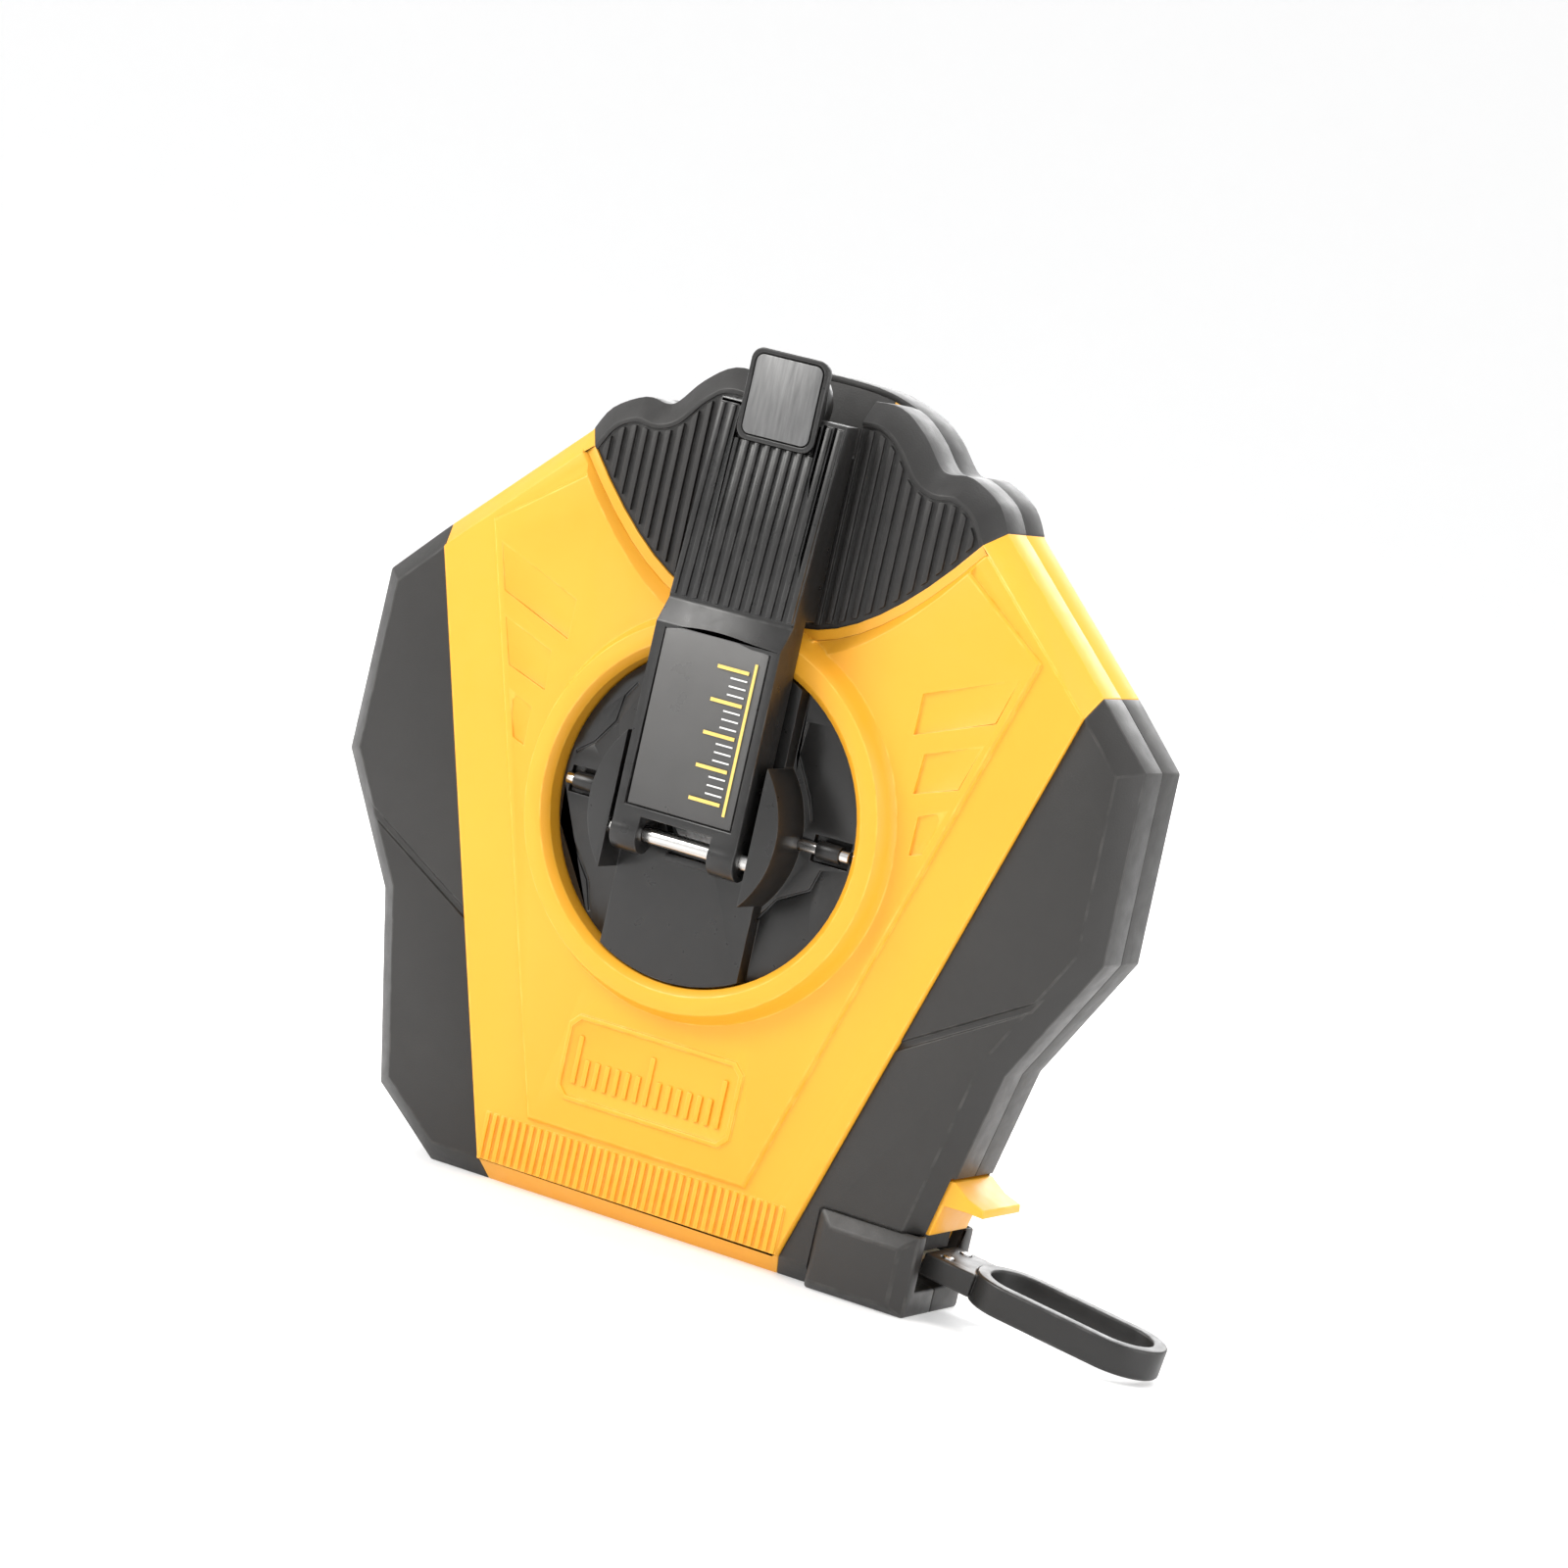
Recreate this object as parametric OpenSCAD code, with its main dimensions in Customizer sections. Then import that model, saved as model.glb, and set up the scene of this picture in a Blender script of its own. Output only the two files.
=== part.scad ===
// Closed-case surveyor tape reel with a folding crank and 3:1 winding gears.
// Millimetres. Origin at the centre of the flat base, front towards -Y, up is +Z.
// Outline points are [across, up] measured from the hub axis, right-hand side only.

/* [Tape] */
// Radius of the full roll of tape
roll_r = 62.4; // [56:0.2:76]
// Width of the tape
tape_w = 13; // [11:0.5:16]
// Thickness of the tape
tape_t = 0.5; // [0.3:0.1:0.8]
// Radius that the first turn is wound on
core_r = 31.5; // [31.5:0.5:40]
// Side clearance between the tape and each flange
tape_gap = 0.25; // [0.1:0.05:0.5]
// Thickness of each spool flange
flange_t = 1; // [0.8:0.1:1.4]

/* [Case] */
// Height of the hub axis above the bottom of the roll
roll_to_base = 19.6; // [18:0.2:26]
// Thickness of the case wall behind the black faces
wall = 2.2; // [2:0.1:3]
// Space between a flange and the case wall
spool_gap = 2.3; // [2.1:0.1:3]
// Thickness of the side walls at the chamfer foot
side_wall = 1; // [0.6:0.1:1.6]
// Thickness of the black skins
skin_t = 1.2; // [0.8:0.1:1.3]
// Width of the chamfer round each face
chamfer_w = 4.1; // [3:0.1:5]
// Depth of the chamfer round each face
chamfer_d = 3.8; // [3:0.1:4.5]
// Half width of the flat base
foot_x = 44.9; // [38:0.1:48]
// How far the wide shoulders stand beyond the roll radius
wide_margin = 17.6; // [14:0.1:30]
// How far the waist stands beyond the roll radius
waist_margin = 3.4; // [2:0.1:7]
// Height of the yellow bands over the black faces
band_h = 1; // [0.6:0.1:1.4]
// Height of the centre shield over the black faces
shield_h = 2; // [1.5:0.1:2]
// Drop of the grip face under the black faces
grip_drop = 0.5; // [0:0.1:0.8]

/* [Hub] */
// Radius of the round window in the front
window_r = 33; // [33:0.5:36]
// Height of the window ring over the black faces
ring_h = 6.5; // [5:0.1:6.5]
// Width of the window ring at its foot
ring_w = 7.2; // [5:0.1:9]
// Running clearance round the hub disc
disc_gap = 0.4; // [0.3:0.05:0.8]
// Height of the hub disc over the black faces
disc_h = 2; // [1:0.1:2.5]
// Thickness of the hub disc
disc_t = 2.6; // [2:0.1:3]
// Radius of the hub boss
boss_r = 20.5; // [20:0.1:22]
// Height of the hub boss over the black faces
boss_h = 13; // [12.5:0.1:13.4]
// Height of the channel floor over the black faces
floor_h = 5.5; // [5:0.1:5.6]
// Half width of the channel that the arm lies in
channel_x = 15.3; // [14.6:0.1:16]
// Radius of the centre axle
axle_r = 4; // [3.5:0.1:4.5]

/* [Gears] */
// Gear module
gear_m = 1; // [0.9:0.05:1]
// Thickness of the gears
gear_t = 4.5; // [3.5:0.1:5]
// Teeth on each planet gear
planet_n = 12; // [12]
// Teeth on the sun gear
sun_n = 24; // [24]

/* [Crank] */
// Half width of the crank arm
arm_x = 13.6; // [12.5:0.1:13.8]
// Length of the crank from the hub axis to the knob axis
knob_z = 81.4; // [78:0.2:90]
// Height of the label face over the black faces
label_h = 14.8; // [14:0.1:15]
// Height of the ribbed face at its lower end
rib_low_h = 11.8; // [11:0.1:12.5]
// Height of the ribbed face at its upper end
rib_high_h = 8.4; // [8:0.1:9]
// Number of ribs on the arm
arm_ribs = 12; // [8:1:14]
// Half width of the square end cap
cap_x = 8.4; // [7:0.1:9]
// Radius of the finger knob
knob_r = 7.8; // [6:0.1:8.2]
// Radius of the hinge pin
hinge_r = 1.6; // [1.2:0.1:2]

/* [Hook] */
// Length of the hook loop
loop_len = 40; // [30:1:50]
// Width of the hook loop
loop_w = 19; // [17:0.5:20]
// Height of the hook loop
loop_h = 6; // [4:0.2:6.4]
// Wall of the hook loop
loop_wall = 2.8; // [2:0.1:4]
// Droop of the hook and the straight tape behind it
hook_tilt = 7.5; // [5:0.5:8]

/* [Hidden] */
$fn = 72;
eps = 0.01;
big = 200;

// overall
hub_z = roll_r + roll_to_base;
half_t = tape_w / 2 + tape_gap + flange_t + spool_gap + wall;
front = -half_t;
fit = 0.05;
run = 0.3;
yellow = [0.98, 0.7, 0.15];
black = [0.2, 0.19, 0.18];
steel = [0.75, 0.75, 0.76];

// outline corners of the faces, right-hand side, from the foot upwards
face_foot = -(hub_z - chamfer_w);
corners = [
    [foot_x, face_foot],
    [roll_r - 4.9, -roll_r - 5.6],
    [roll_r + waist_margin, -31],
    [roll_r + wide_margin, -6.2],
    [roll_r + wide_margin - 0.5, 28],
    [roll_r + 8.2, 37],
    [42.6, roll_r + 1.2]];
n_corners = len(corners);
// two finger waves on the grip, the back half also has a crest at the centre
wave_front = [[39.6, 6], [35, 8.5], [30.4, 8.2], [26.2, 10], [21.6, 15.2], [17, 18.2], [10, 18.2]];
wave_back = [[39.6, 6], [35, 8.5], [30.4, 8.2], [26.2, 10], [21.6, 15.2], [17, 18.2], [8, 20.6]];
function wave(back) = [for (p = back ? wave_back : wave_front) [p[0], roll_r + p[1]]];
function mirrored(pts) = [for (i = [len(pts) - 1:-1:0]) [-pts[i][0], pts[i][1]]];
function loop_of(back) = let (side = concat(corners, wave(back))) concat(side, mirrored(side));

// every corner moved outwards along its mitre
function unit(v) = v / norm(v);
function outward(a, b) = let (u = unit(b - a)) [u[1], -u[0]];
function grown(pts, d) = let (n = len(pts)) [for (i = [0:n - 1])
    let (a = outward(pts[(i + n - 1) % n], pts[i]), b = outward(pts[i], pts[(i + 1) % n]))
    pts[i] + d * (a + b) / (1 + a * b)];

// a smooth curve through the waves
curve_steps = 4;
function blend4(a, b, c, d, t) = 0.5 * (2 * b + (c - a) * t + (2 * a - 5 * b + 4 * c - d) * t * t
    + (3 * b - a - 3 * c + d) * t * t * t);
function smooth_top(pts, n_wave) = let (first = n_corners - 1, last = first + 2 * n_wave + 1) concat(
    [for (i = [0:first - 1]) pts[i]],
    [for (i = [first:last - 1], k = [0:curve_steps - 1])
        blend4(pts[max(i - 1, first)], pts[i], pts[i + 1], pts[min(i + 2, last)], k / curve_steps)],
    [for (i = [last:len(pts) - 1]) pts[i]]);
function case_outline(back, d) = smooth_top(grown(loop_of(back), d), len(wave_front));

// places an [across, up] outline between two depths
module slab(y0, y1) {
    translate([0, y1, hub_z]) rotate([90, 0, 0]) linear_extrude(y1 - y0) children();
}
// turns a [radius, depth] outline about the hub axis
module turned() {
    translate([0, 0, hub_z]) rotate([-90, 0, 0]) rotate_extrude() children();
}
// round bar along the depth at [across, up]
module bar(x, z, r, y0, y1) {
    translate([x, y0, hub_z + z]) rotate([-90, 0, 0]) cylinder(r = r, h = y1 - y0);
}
module box(x0, x1, y0, y1, z0, z1) {
    translate([x0, y0, hub_z + z0]) cube([x1 - x0, y1 - y0, z1 - z0]);
}
module to_back(back) {
    if (back) mirror([0, 1, 0]) children();
    else children();
}

// solid half of the case between the seam and one face, shrunk all over by inset
module half_solid(back, inset) {
    to_back(back) difference() {
        slab(front + inset, 0) polygon(case_outline(back, chamfer_w - inset));
        chamfer_ring(back, inset);
    }
}
// ring of triangular section that cuts the chamfer, 1 mm longer than it at each end
module chamfer_ring(back, inset) {
    edge_y = front + chamfer_d + inset * 0.4;
    face_y = front + inset;
    slope = chamfer_w / (edge_y - face_y);
    low = case_outline(back, -inset - slope);
    high = case_outline(back, chamfer_w - inset + slope);
    n = len(low);
    points = concat(
        [for (p = low) [p[0], face_y - 1, hub_z + p[1]]],
        [for (p = high) [p[0], face_y - 1, hub_z + p[1]]],
        [for (p = high) [p[0], edge_y + 1, hub_z + p[1]]]);
    polyhedron(points, [for (ring = [0:2], i = [0:n - 1])
        [ring * n + i, ring * n + (i + 1) % n, (ring + 1) % 3 * n + (i + 1) % n, (ring + 1) % 3 * n + i]]);
}

// boundary between yellow and black
split_low = [34, face_foot];
split_high = corners[5];
split_dir = (split_high - split_low) / norm(split_high - split_low);
split_top = split_high + split_dir * 30;
split_foot = split_low - split_dir * 12;
grip_corner = corners[n_corners - 1];
v_bottom = [9, 39.6];
v_pull = [24, 40.2];
function bezier(a, b, c, t) = a * (1 - t) * (1 - t) + 2 * b * t * (1 - t) + c * t * t;
v_side = [for (k = [8:-1:0]) bezier(grip_corner, v_pull, v_bottom, k / 8)];
grip_out = grip_corner + [9, 9.4];
module yellow_area() {
    side = concat([split_foot, split_top], [grip_out], [for (k = [8:-1:0]) v_side[k]]);
    polygon(concat(side, mirrored(side)));
}
module grip_area() {
    side = concat(v_side, [grip_out, grip_out + [0, 60]]);
    polygon(concat(side, mirrored(side)));
}
module black_area(side) {
    mirror([side < 0 ? 1 : 0, 0]) polygon([split_foot, split_foot + [big, 0], split_top + [big, 0],
        split_top]);
}
shield_side = [[24.5, -roll_r - 4.7], [60.4, 44.9]];
slope_top = [-0.5, -5.5];
slope_foot = [1, -1.5];
function on_slope(p, share) = p + slope_top + (slope_foot - slope_top) * share;
module shield_outline() {
    side = concat(shield_side, [v_side[8] + slope_top], [for (k = [8:-1:1]) v_side[k] + slope_foot]);
    polygon(concat(side, mirrored(side)));
}
// cuts the shield away in a slope that runs down to the foot of the grip
module grip_slope() {
    start = -0.1;
    end = 0.95;
    path = concat([for (k = [1:8]) v_side[k]], [v_side[8] + (v_side[8] - v_side[7]) * 0.3]);
    points = [for (v = path) let (p = on_slope(v, start), q = on_slope(v, end)) each [
        [p[0], front - 10, hub_z + p[1]], [p[0], front - shield_h * (1 - start), hub_z + p[1]],
        [q[0], front - shield_h * (1 - end), hub_z + q[1]], [q[0], front - 10, hub_z + q[1]]]];
    last = len(points) - 1;
    polyhedron(points, concat([[0, 1, 2, 3]], [for (k = [4:4:last], i = [0:3])
        [k - 4 + i, k + i, k + (i + 1) % 4, k - 4 + (i + 1) % 4]], [[last, last - 1, last - 2, last - 3]]));
}
module grip_hollow() {
    side = [for (p = v_side) on_slope(p, 0.9)];
    polygon(concat(side, [grip_out + [3, -4], grip_out + [0, 60]],
        mirrored(concat(side, [grip_out + [3, -4], grip_out + [0, 60]]))));
}
module band_outline() {
    intersection() {
        yellow_area();
        polygon(case_outline(false, 0));
    }
}

// inner chamber, screw posts and mouth
cavity_side = grown(concat(corners, [[28, roll_r + 8], [-28, roll_r + 8]],
    mirrored(corners)), -side_wall);
posts = [[30, roll_r + 4], [-30, roll_r + 4], [roll_r + 12, 12], [-roll_r - 12, 12],
    [roll_r - 0.9, -42], [-roll_r + 0.9, -42], [-41, -roll_r - 8]];
post_r = 3.4;
screw_r = 1.25;
mouth_half = 9;
mouth_low = -(hub_z - 4.9);
mouth_high = -roll_r - 4.1;
window_top = mouth_high + 12.4;
mouth_x = roll_r - 14;
module chamber() {
    polygon(cavity_side);
}
module mouth_cut() {
    box(mouth_x, big, -mouth_half, mouth_half, mouth_low, window_top);
}
notch_x = 12.6;
notch_z = roll_r + 11;
module knob_notch() {
    box(-notch_x, notch_x, -big, 0, notch_z, notch_z + 30);
}

// window ring, lip that carries the ring gear
disc_y = front - disc_h;
disc_back = disc_y + disc_t;
lip_y = disc_back + 0.6;
lip_r = 25.5 * gear_m;
gear_y = lip_y + 2.15;
gear_end = gear_y + gear_t;
ring_face = front - ring_h;
ring_out = window_r + ring_w;
inner_front = front + wall;

module window_ring() {
    turned() polygon([[window_r, ring_face + 1.5], [window_r + 1.5, ring_face], [ring_out - 2.2, ring_face],
        [ring_out, front - shield_h + 0.5], [ring_out, inner_front], [window_r + 3, inner_front],
        [window_r + 3, gear_y], [lip_r, gear_y], [lip_r, lip_y], [window_r, lip_y]]);
}
module shell_half(back) {
    intersection() {
        half_solid(back, 0);
        slab(-big, big) yellow_area();
    }
    half_solid(back, skin_t);
}
module raised_front() {
    difference() {
        union() {
            slab(front - band_h, front + eps) band_outline();
            slab(front - shield_h, front + eps) shield_outline();
        }
        slab(front - 10, front - eps) grip_hollow();
        for (s = [0, 1]) mirror([s, 0, 0]) {
            grip_slope();
            for (p = pockets) pocket(p);
        }
    }
}
// shallow pockets in the shield, deepest at the end next to the hub
pocket_depth = 0.7;
pockets = [[[57, 41], [38.3, 33.8], [38.3, 25.9], [54.2, 32]],
    [[52.7, 27.1], [41.3, 22.8], [40.9, 15.1], [49.8, 18.1]],
    [[48.4, 13.4], [42.9, 11.1], [42.8, 3.6], [45.4, 4.5]]];
module pocket(pts) {
    face_y = front - shield_h;
    intersection() {
        slab(face_y - 1, front) polygon(pts);
        slab_flat(0, 50) polygon([[pts[0][0], face_y], [pts[2][0], face_y + pocket_depth],
            [pts[2][0] - 2, face_y + pocket_depth], [pts[2][0] - 2, face_y - 2], [pts[0][0], face_y - 2]]);
    }
}
// straight groove between two points
function strip(a, b, w) = let (u = unit(b - a) * w / 2, v = [-u[1], u[0]]) [
    a + v - u, b + v + u, b - v + u, a - v - u];
rib_pitch = 1.7;
rib_count = 40;
module base_ribs() {
    for (i = [0:rib_count - 1]) {
        x = (i - (rib_count - 1) / 2) * rib_pitch;
        box(x - 0.45, x + 0.45, front - band_h - 0.6, front, face_foot + 0.4, face_foot + 9.6);
    }
}
badge_z = -52.5;
module cut_corner(hx, hz, c) {
    translate([0, badge_z]) polygon([for (s = [[1, 1], [-1, 1], [-1, -1], [1, -1]], k = s[0] * s[1] > 0 ? [0, 1] : [1, 0])
        [s[0] * (hx - k * c), s[1] * (hz - (1 - k) * c)]]);
}
module badge_frame() {
    slab(front - shield_h - 0.5, front) difference() {
        cut_corner(19.5, 8.5, 2);
        cut_corner(18.6, 7.6, 1.7);
    }
}
module front_shell() {
    color(yellow) difference() {
        union() {
            difference() {
                union() {
                    shell_half(false);
                    raised_front();
                    base_ribs();
                    badge_frame();
                }
                slab(inner_front, eps) chamber();
                bar(0, 0, window_r, -big, 10);
            }
            window_ring();
            intersection() {
                for (p = posts) bar(p[0], p[1], post_r, inner_front - eps, 0);
                slab(front, 1) polygon(case_outline(false, 0));
            }
        }
        for (p = posts) bar(p[0], p[1], screw_r, inner_front + 2, 1);
        mouth_cut();
        knob_notch();
        for (a = [30, 150, 270]) rotate_hub(a) bar(ring_screw_r, 0, 1, lip_y + 0.6, gear_y + 1);
        bar(lever_pin_at[0], lever_pin_at[1], lever_pin_r, -lever_pin_half, 1);
        bar(roller_at[0], roller_at[1], roller_pin_r, -lever_pin_half, 1);
    }
}
back_ring_h = 3.5;
module back_shell() {
    color(yellow) difference() {
        union() {
            difference() {
                union() {
                    shell_half(true);
                    mirror([0, 1, 0]) raised_front();
                    mirror([0, 1, 0]) base_ribs();
                    turned() polygon([[0, half_t], [ring_out, half_t], [ring_out - 2, half_t + back_ring_h],
                        [0, half_t + back_ring_h]]);
                }
                slab(-eps, half_t - wall) chamber();
            }
            intersection() {
                for (p = posts) bar(p[0], p[1], post_r, 0, half_t - wall + eps);
                slab(-1, half_t) polygon(case_outline(true, 0));
            }
            bar(0, 0, axle_r + 3.5, axle_boss_y, half_t - wall + eps);
        }
        turned() polygon([[0, half_t + 1], [window_r - 2, half_t + 1], [window_r, half_t + back_ring_h + 1],
            [0, half_t + back_ring_h + 1]]);
        for (p = posts) {
            bar(p[0], p[1], screw_r + 0.25, -1, half_t + 8);
            bar(p[0], p[1], screw_r + 1.6, half_t - 2, half_t + 8);
        }
        bar(0, 0, axle_r + fit, -1, half_t - wall);
        bar(0, 0, axle_screw_r + 0.2, -1, half_t + 8);
        mouth_cut();
        bar(lever_pin_at[0], lever_pin_at[1], lever_pin_r, -1, lever_pin_half);
        bar(roller_at[0], roller_at[1], roller_pin_r, -1, lever_pin_half);
    }
}
module rotate_hub(a) {
    translate([0, 0, hub_z]) rotate([0, a, 0]) translate([0, 0, -hub_z]) children();
}

// black overmoulded skins
module skin(back, side) {
    color(black) difference() {
        intersection() {
            half_solid(back, 0);
            slab(-big, big) black_area(side);
        }
        half_solid(back, skin_t);
        to_back(back) slab(front - 1, front + 0.5) mirror([side < 0 ? 1 : 0, 0])
            polygon(strip(panel_groove[0], panel_groove[1], 1.4));
        if (side > 0) {
            mouth_cut();
            roller_bore();
        }
        if (back) screw_heads();
    }
}
panel_groove = [[roll_r + 12.4, -17.2], [47.5, -32.9]];
module screw_heads() {
    for (p = posts) bar(p[0], p[1], screw_r + 1.9, half_t - 3, half_t + 8);
}
module roller_bore() {
    bar(roller_at[0], roller_at[1], roller_pin_r, -lever_pin_half, lever_pin_half);
}
module front_left_skin() { skin(false, -1); }
module front_right_skin() { skin(false, 1); }
module back_left_skin() { skin(true, -1); }
module back_right_skin() { skin(true, 1); }

grip_pitch = 2.5;
module grip(back) {
    color(black) difference() {
        union() {
            difference() {
                intersection() {
                    half_solid(back, 0);
                    slab(-big, big) grip_area();
                }
                half_solid(back, skin_t);
                to_back(back) slab(front - 1, front + grip_drop) intersection() {
                    polygon(case_outline(back, -0.8));
                    grip_area();
                }
            }
            to_back(back) slab(front - 0.3, front + grip_drop + eps) intersection() {
                polygon(case_outline(back, -1.4));
                offset(delta = -1) grip_area();
                for (i = [-17:17]) translate([i * grip_pitch - 0.55, 0]) square([1.1, big]);
            }
        }
        if (!back) knob_notch();
        if (back) screw_heads();
        to_back(back) bar(0, 0, ring_out, -big, 0);
    }
}
module front_grip() { grip(false); }
module back_grip() { grip(true); }

// square corner block round the tape mouth
nose_x = roll_r - 0.4;
nose_left = 40.5;
nose_top = -roll_r - 3.6;
nose_h = 2;
nose_foot = [[nose_left, nose_top], [nose_left, -hub_z], [nose_x, -hub_z], [nose_x, nose_top]];
module nose(back) {
    color(black) difference() {
        union() {
            to_back(back) hull() {
                slab(front - 0.1, front + 1) polygon(nose_foot);
                slab(front - nose_h, front) polygon([[nose_left + 3.5, nose_top - 3], [nose_x - 3, nose_top - 3],
                    [nose_x - 3, -hub_z + 1.6], [nose_left + 1.5, -hub_z + 1.6]]);
            }
            to_back(back) slab(front, 0) polygon(nose_foot);
        }
        half_solid(back, 0);
        mouth_cut();
        roller_bore();
    }
}
module front_nose() { nose(false); }
module back_nose() { nose(true); }

module case_screws() {
    color(steel) for (p = posts) difference() {
        union() {
            bar(p[0], p[1], screw_r, inner_front + 2.5, half_t - 3);
            bar(p[0], p[1], screw_r + 1.5, half_t - 2, half_t - 0.6);
            bar(p[0], p[1], screw_r, half_t - 3.1, half_t - 1);
        }
        translate([p[0] - 1.9, half_t - 1.1, hub_z + p[1] - 0.3]) cube([3.8, 1, 0.6]);
    }
}

// centre axle, its screw and the clip that holds the hub
axle_boss_y = half_t - wall - 1.5;
axle_end = front - floor_h + 0.9;
clip_y = axle_end + 0.4;
clip_t = 0.8;
axle_screw_r = 1.5;
groove_r = axle_r - 0.8;
module axle() {
    color(steel) difference() {
        bar(0, 0, axle_r, axle_end, half_t - wall);
        turned() translate([groove_r, clip_y]) square([3, clip_t + 0.1]);
        bar(0, 0, axle_screw_r, half_t - wall - 8, half_t);
    }
}
module axle_screw() {
    color(steel) difference() {
        union() {
            bar(0, 0, axle_screw_r, half_t - wall - 7, half_t + 1.2);
            bar(0, 0, 3.6, half_t + 1, half_t + 2.6);
        }
        translate([-3, half_t + 1.9, hub_z - 0.5]) cube([6, 2, 1]);
    }
}
module hub_clip() {
    color(steel) turned() translate([groove_r + 0.05, clip_y]) square([3, clip_t]);
}

// gears: straight-sided teeth, slim enough to run free
function tooth(n, i, low, mid, high, share) = let (p = 360 / n, a = i * p, r = n * gear_m / 2) [
    [r + low, a - p * 0.36 * share], [r + mid, a - p * 0.235 * share], [r + high, a - p * 0.1 * share],
    [r + high, a + p * 0.1 * share], [r + mid, a + p * 0.235 * share], [r + low, a + p * 0.36 * share]];
function polar(list) = [for (t = list, q = t) q[0] * [cos(q[1]), sin(q[1])]];
module gear_outline(n, start) {
    rotate(start) polygon(polar([for (i = [0:n - 1])
        tooth(n, i, -1.15 * gear_m, 0, 0.85 * gear_m, 0.92)]));
}
module ring_outline(n, start) {
    rotate(start) polygon(polar([for (i = [0:n - 1])
        tooth(n, i, -0.8 * gear_m, 0, 1.2 * gear_m, 1.16)]));
}
ring_n = sun_n + 2 * planet_n;
carrier_r = (sun_n + planet_n) * gear_m / 2;
ring_screw_r = ring_n * gear_m / 2 + 3.3;
ring_gear_r = 29.4 * gear_m;
planet_angles = [90, 210, 330];
module ring_gear() {
    color("dimgray") difference() {
        slab(gear_y, gear_end) difference() {
            circle(ring_gear_r);
            ring_outline(ring_n, 90);
        }
        for (a = [30, 150, 270]) rotate_hub(a) bar(ring_screw_r, 0, 1.2, gear_y - 1, gear_end + 1);
    }
}
module ring_gear_screws() {
    color(steel) for (a = [30, 150, 270]) rotate_hub(a) {
        bar(ring_screw_r, 0, 1, lip_y + 0.7, gear_end + eps);
        bar(ring_screw_r, 0, 1.3, gear_end, gear_end + 0.3);
    }
}
planet_bore = 1.5;
module planet_at(i) {
    a = planet_angles[i];
    translate([carrier_r * cos(a), 0, carrier_r * sin(a)]) children();
}
module planet_gear(i) {
    a = planet_angles[i];
    color("whitesmoke") difference() {
        planet_at(i) slab(carrier_y + run, gear_end - 0.2) gear_outline(planet_n, a);
        planet_at(i) bar(0, 0, planet_bore + fit, -big, big);
    }
}
module planet_gear_1() { planet_gear(0); }
module planet_gear_2() { planet_gear(1); }
module planet_gear_3() { planet_gear(2); }
carrier_y = lip_y + 1.75;
module planet_pins() {
    color(steel) for (i = [0:2]) planet_at(i) bar(0, 0, planet_bore, disc_y + 0.8, gear_end + 0.2);
}

// crank hub: disc, boss, arm channel and planet carrier in one moulding
disc_r = window_r - disc_gap;
hinge_y = front - 11;
hinge_z = -5.2;
pin_half = 18.4;
floor_y = front - floor_h;
module crank_hub() {
    color(black) difference() {
        union() {
            bar(0, 0, disc_r, disc_y, disc_back);
            bar(0, 0, lip_r - 1, disc_y, carrier_y);
            bar(0, 0, boss_r, front - boss_h, disc_back);
            intersection() {
                box(-channel_x, channel_x, floor_y, disc_back, -disc_r, disc_r);
                bar(0, 0, disc_r, floor_y - 1, disc_back);
            }
        }
        box(-channel_x, channel_x, front - boss_h - 1, floor_y, -disc_r, disc_r);
        translate([-pin_half - 0.2, hinge_y, hub_z + hinge_z]) rotate([0, 90, 0])
            cylinder(r = hinge_r, h = 2 * pin_half + 0.4);
        bar(0, 0, axle_r + 0.1, -big, 0);
        bar(0, 0, axle_r + 3.4, floor_y - 1, clip_y + clip_t + run);
        for (i = [0:2]) planet_at(i) bar(0, 0, planet_bore, disc_y + 0.8, 0);
        for (s = [-1, 1]) {
            box(min(s * 23, s * 31), max(s * 23, s * 31), disc_y - 1, disc_y + 1.5, -2.6, 2.6);
            translate([s > 0 ? boss_r - 2 : -boss_r - 11.2, latch_y, hub_z]) rotate([0, 90, 0])
                cylinder(r = latch_r, h = 13.2);
        }
        disc_grooves();
    }
    color(black) box(-4.9, 4.9, floor_y - 1.3, floor_y + eps, hinge_z - 4.4, hinge_z - 2.9);
}
// angular line grooves in the face of the hub disc
disc_lines = [[[-21.2, 21.1], [-23.1, 18.3], [-23.8, 13], [-27.5, 8], [-30.9, 5.4]],
    [[-30.6, -8.9], [-27.5, -12], [-22.6, -18.4], [-20.9, -23.8]],
    [[16.4, 22.5], [16, 16.4], [20.2, 9], [21.6, 5]],
    [[14.4, -17.1], [18.1, -11.6], [24.4, -8.2], [25.7, -4.2]]];
module disc_grooves() {
    slab(disc_y - 1, disc_y + 0.4) for (line = disc_lines, i = [1:len(line) - 1])
        polygon(strip(line[i - 1], line[i], 0.5));
}
module hinge_pin() {
    color(steel) translate([-pin_half, hinge_y, hub_z + hinge_z]) rotate([0, 90, 0])
        cylinder(r = hinge_r, h = 2 * pin_half);
}
latch_r = 1.2;
latch_y = disc_y - 0.3;
module latch_pins() {
    color(steel) for (s = [0, 1]) mirror([s, 0, 0])
        translate([boss_r - 1.8, latch_y, hub_z]) rotate([0, 90, 0]) cylinder(r = latch_r, h = 12.6);
}
module latch_sleeves() {
    color(black) for (s = [0, 1]) mirror([s, 0, 0])
        translate([24.5, latch_y, hub_z]) rotate([0, 90, 0]) difference() {
            cylinder(r = 1.75, h = 5);
            translate([0, 0, -1]) cylinder(r = latch_r + fit, h = 7);
        }
}

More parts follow.
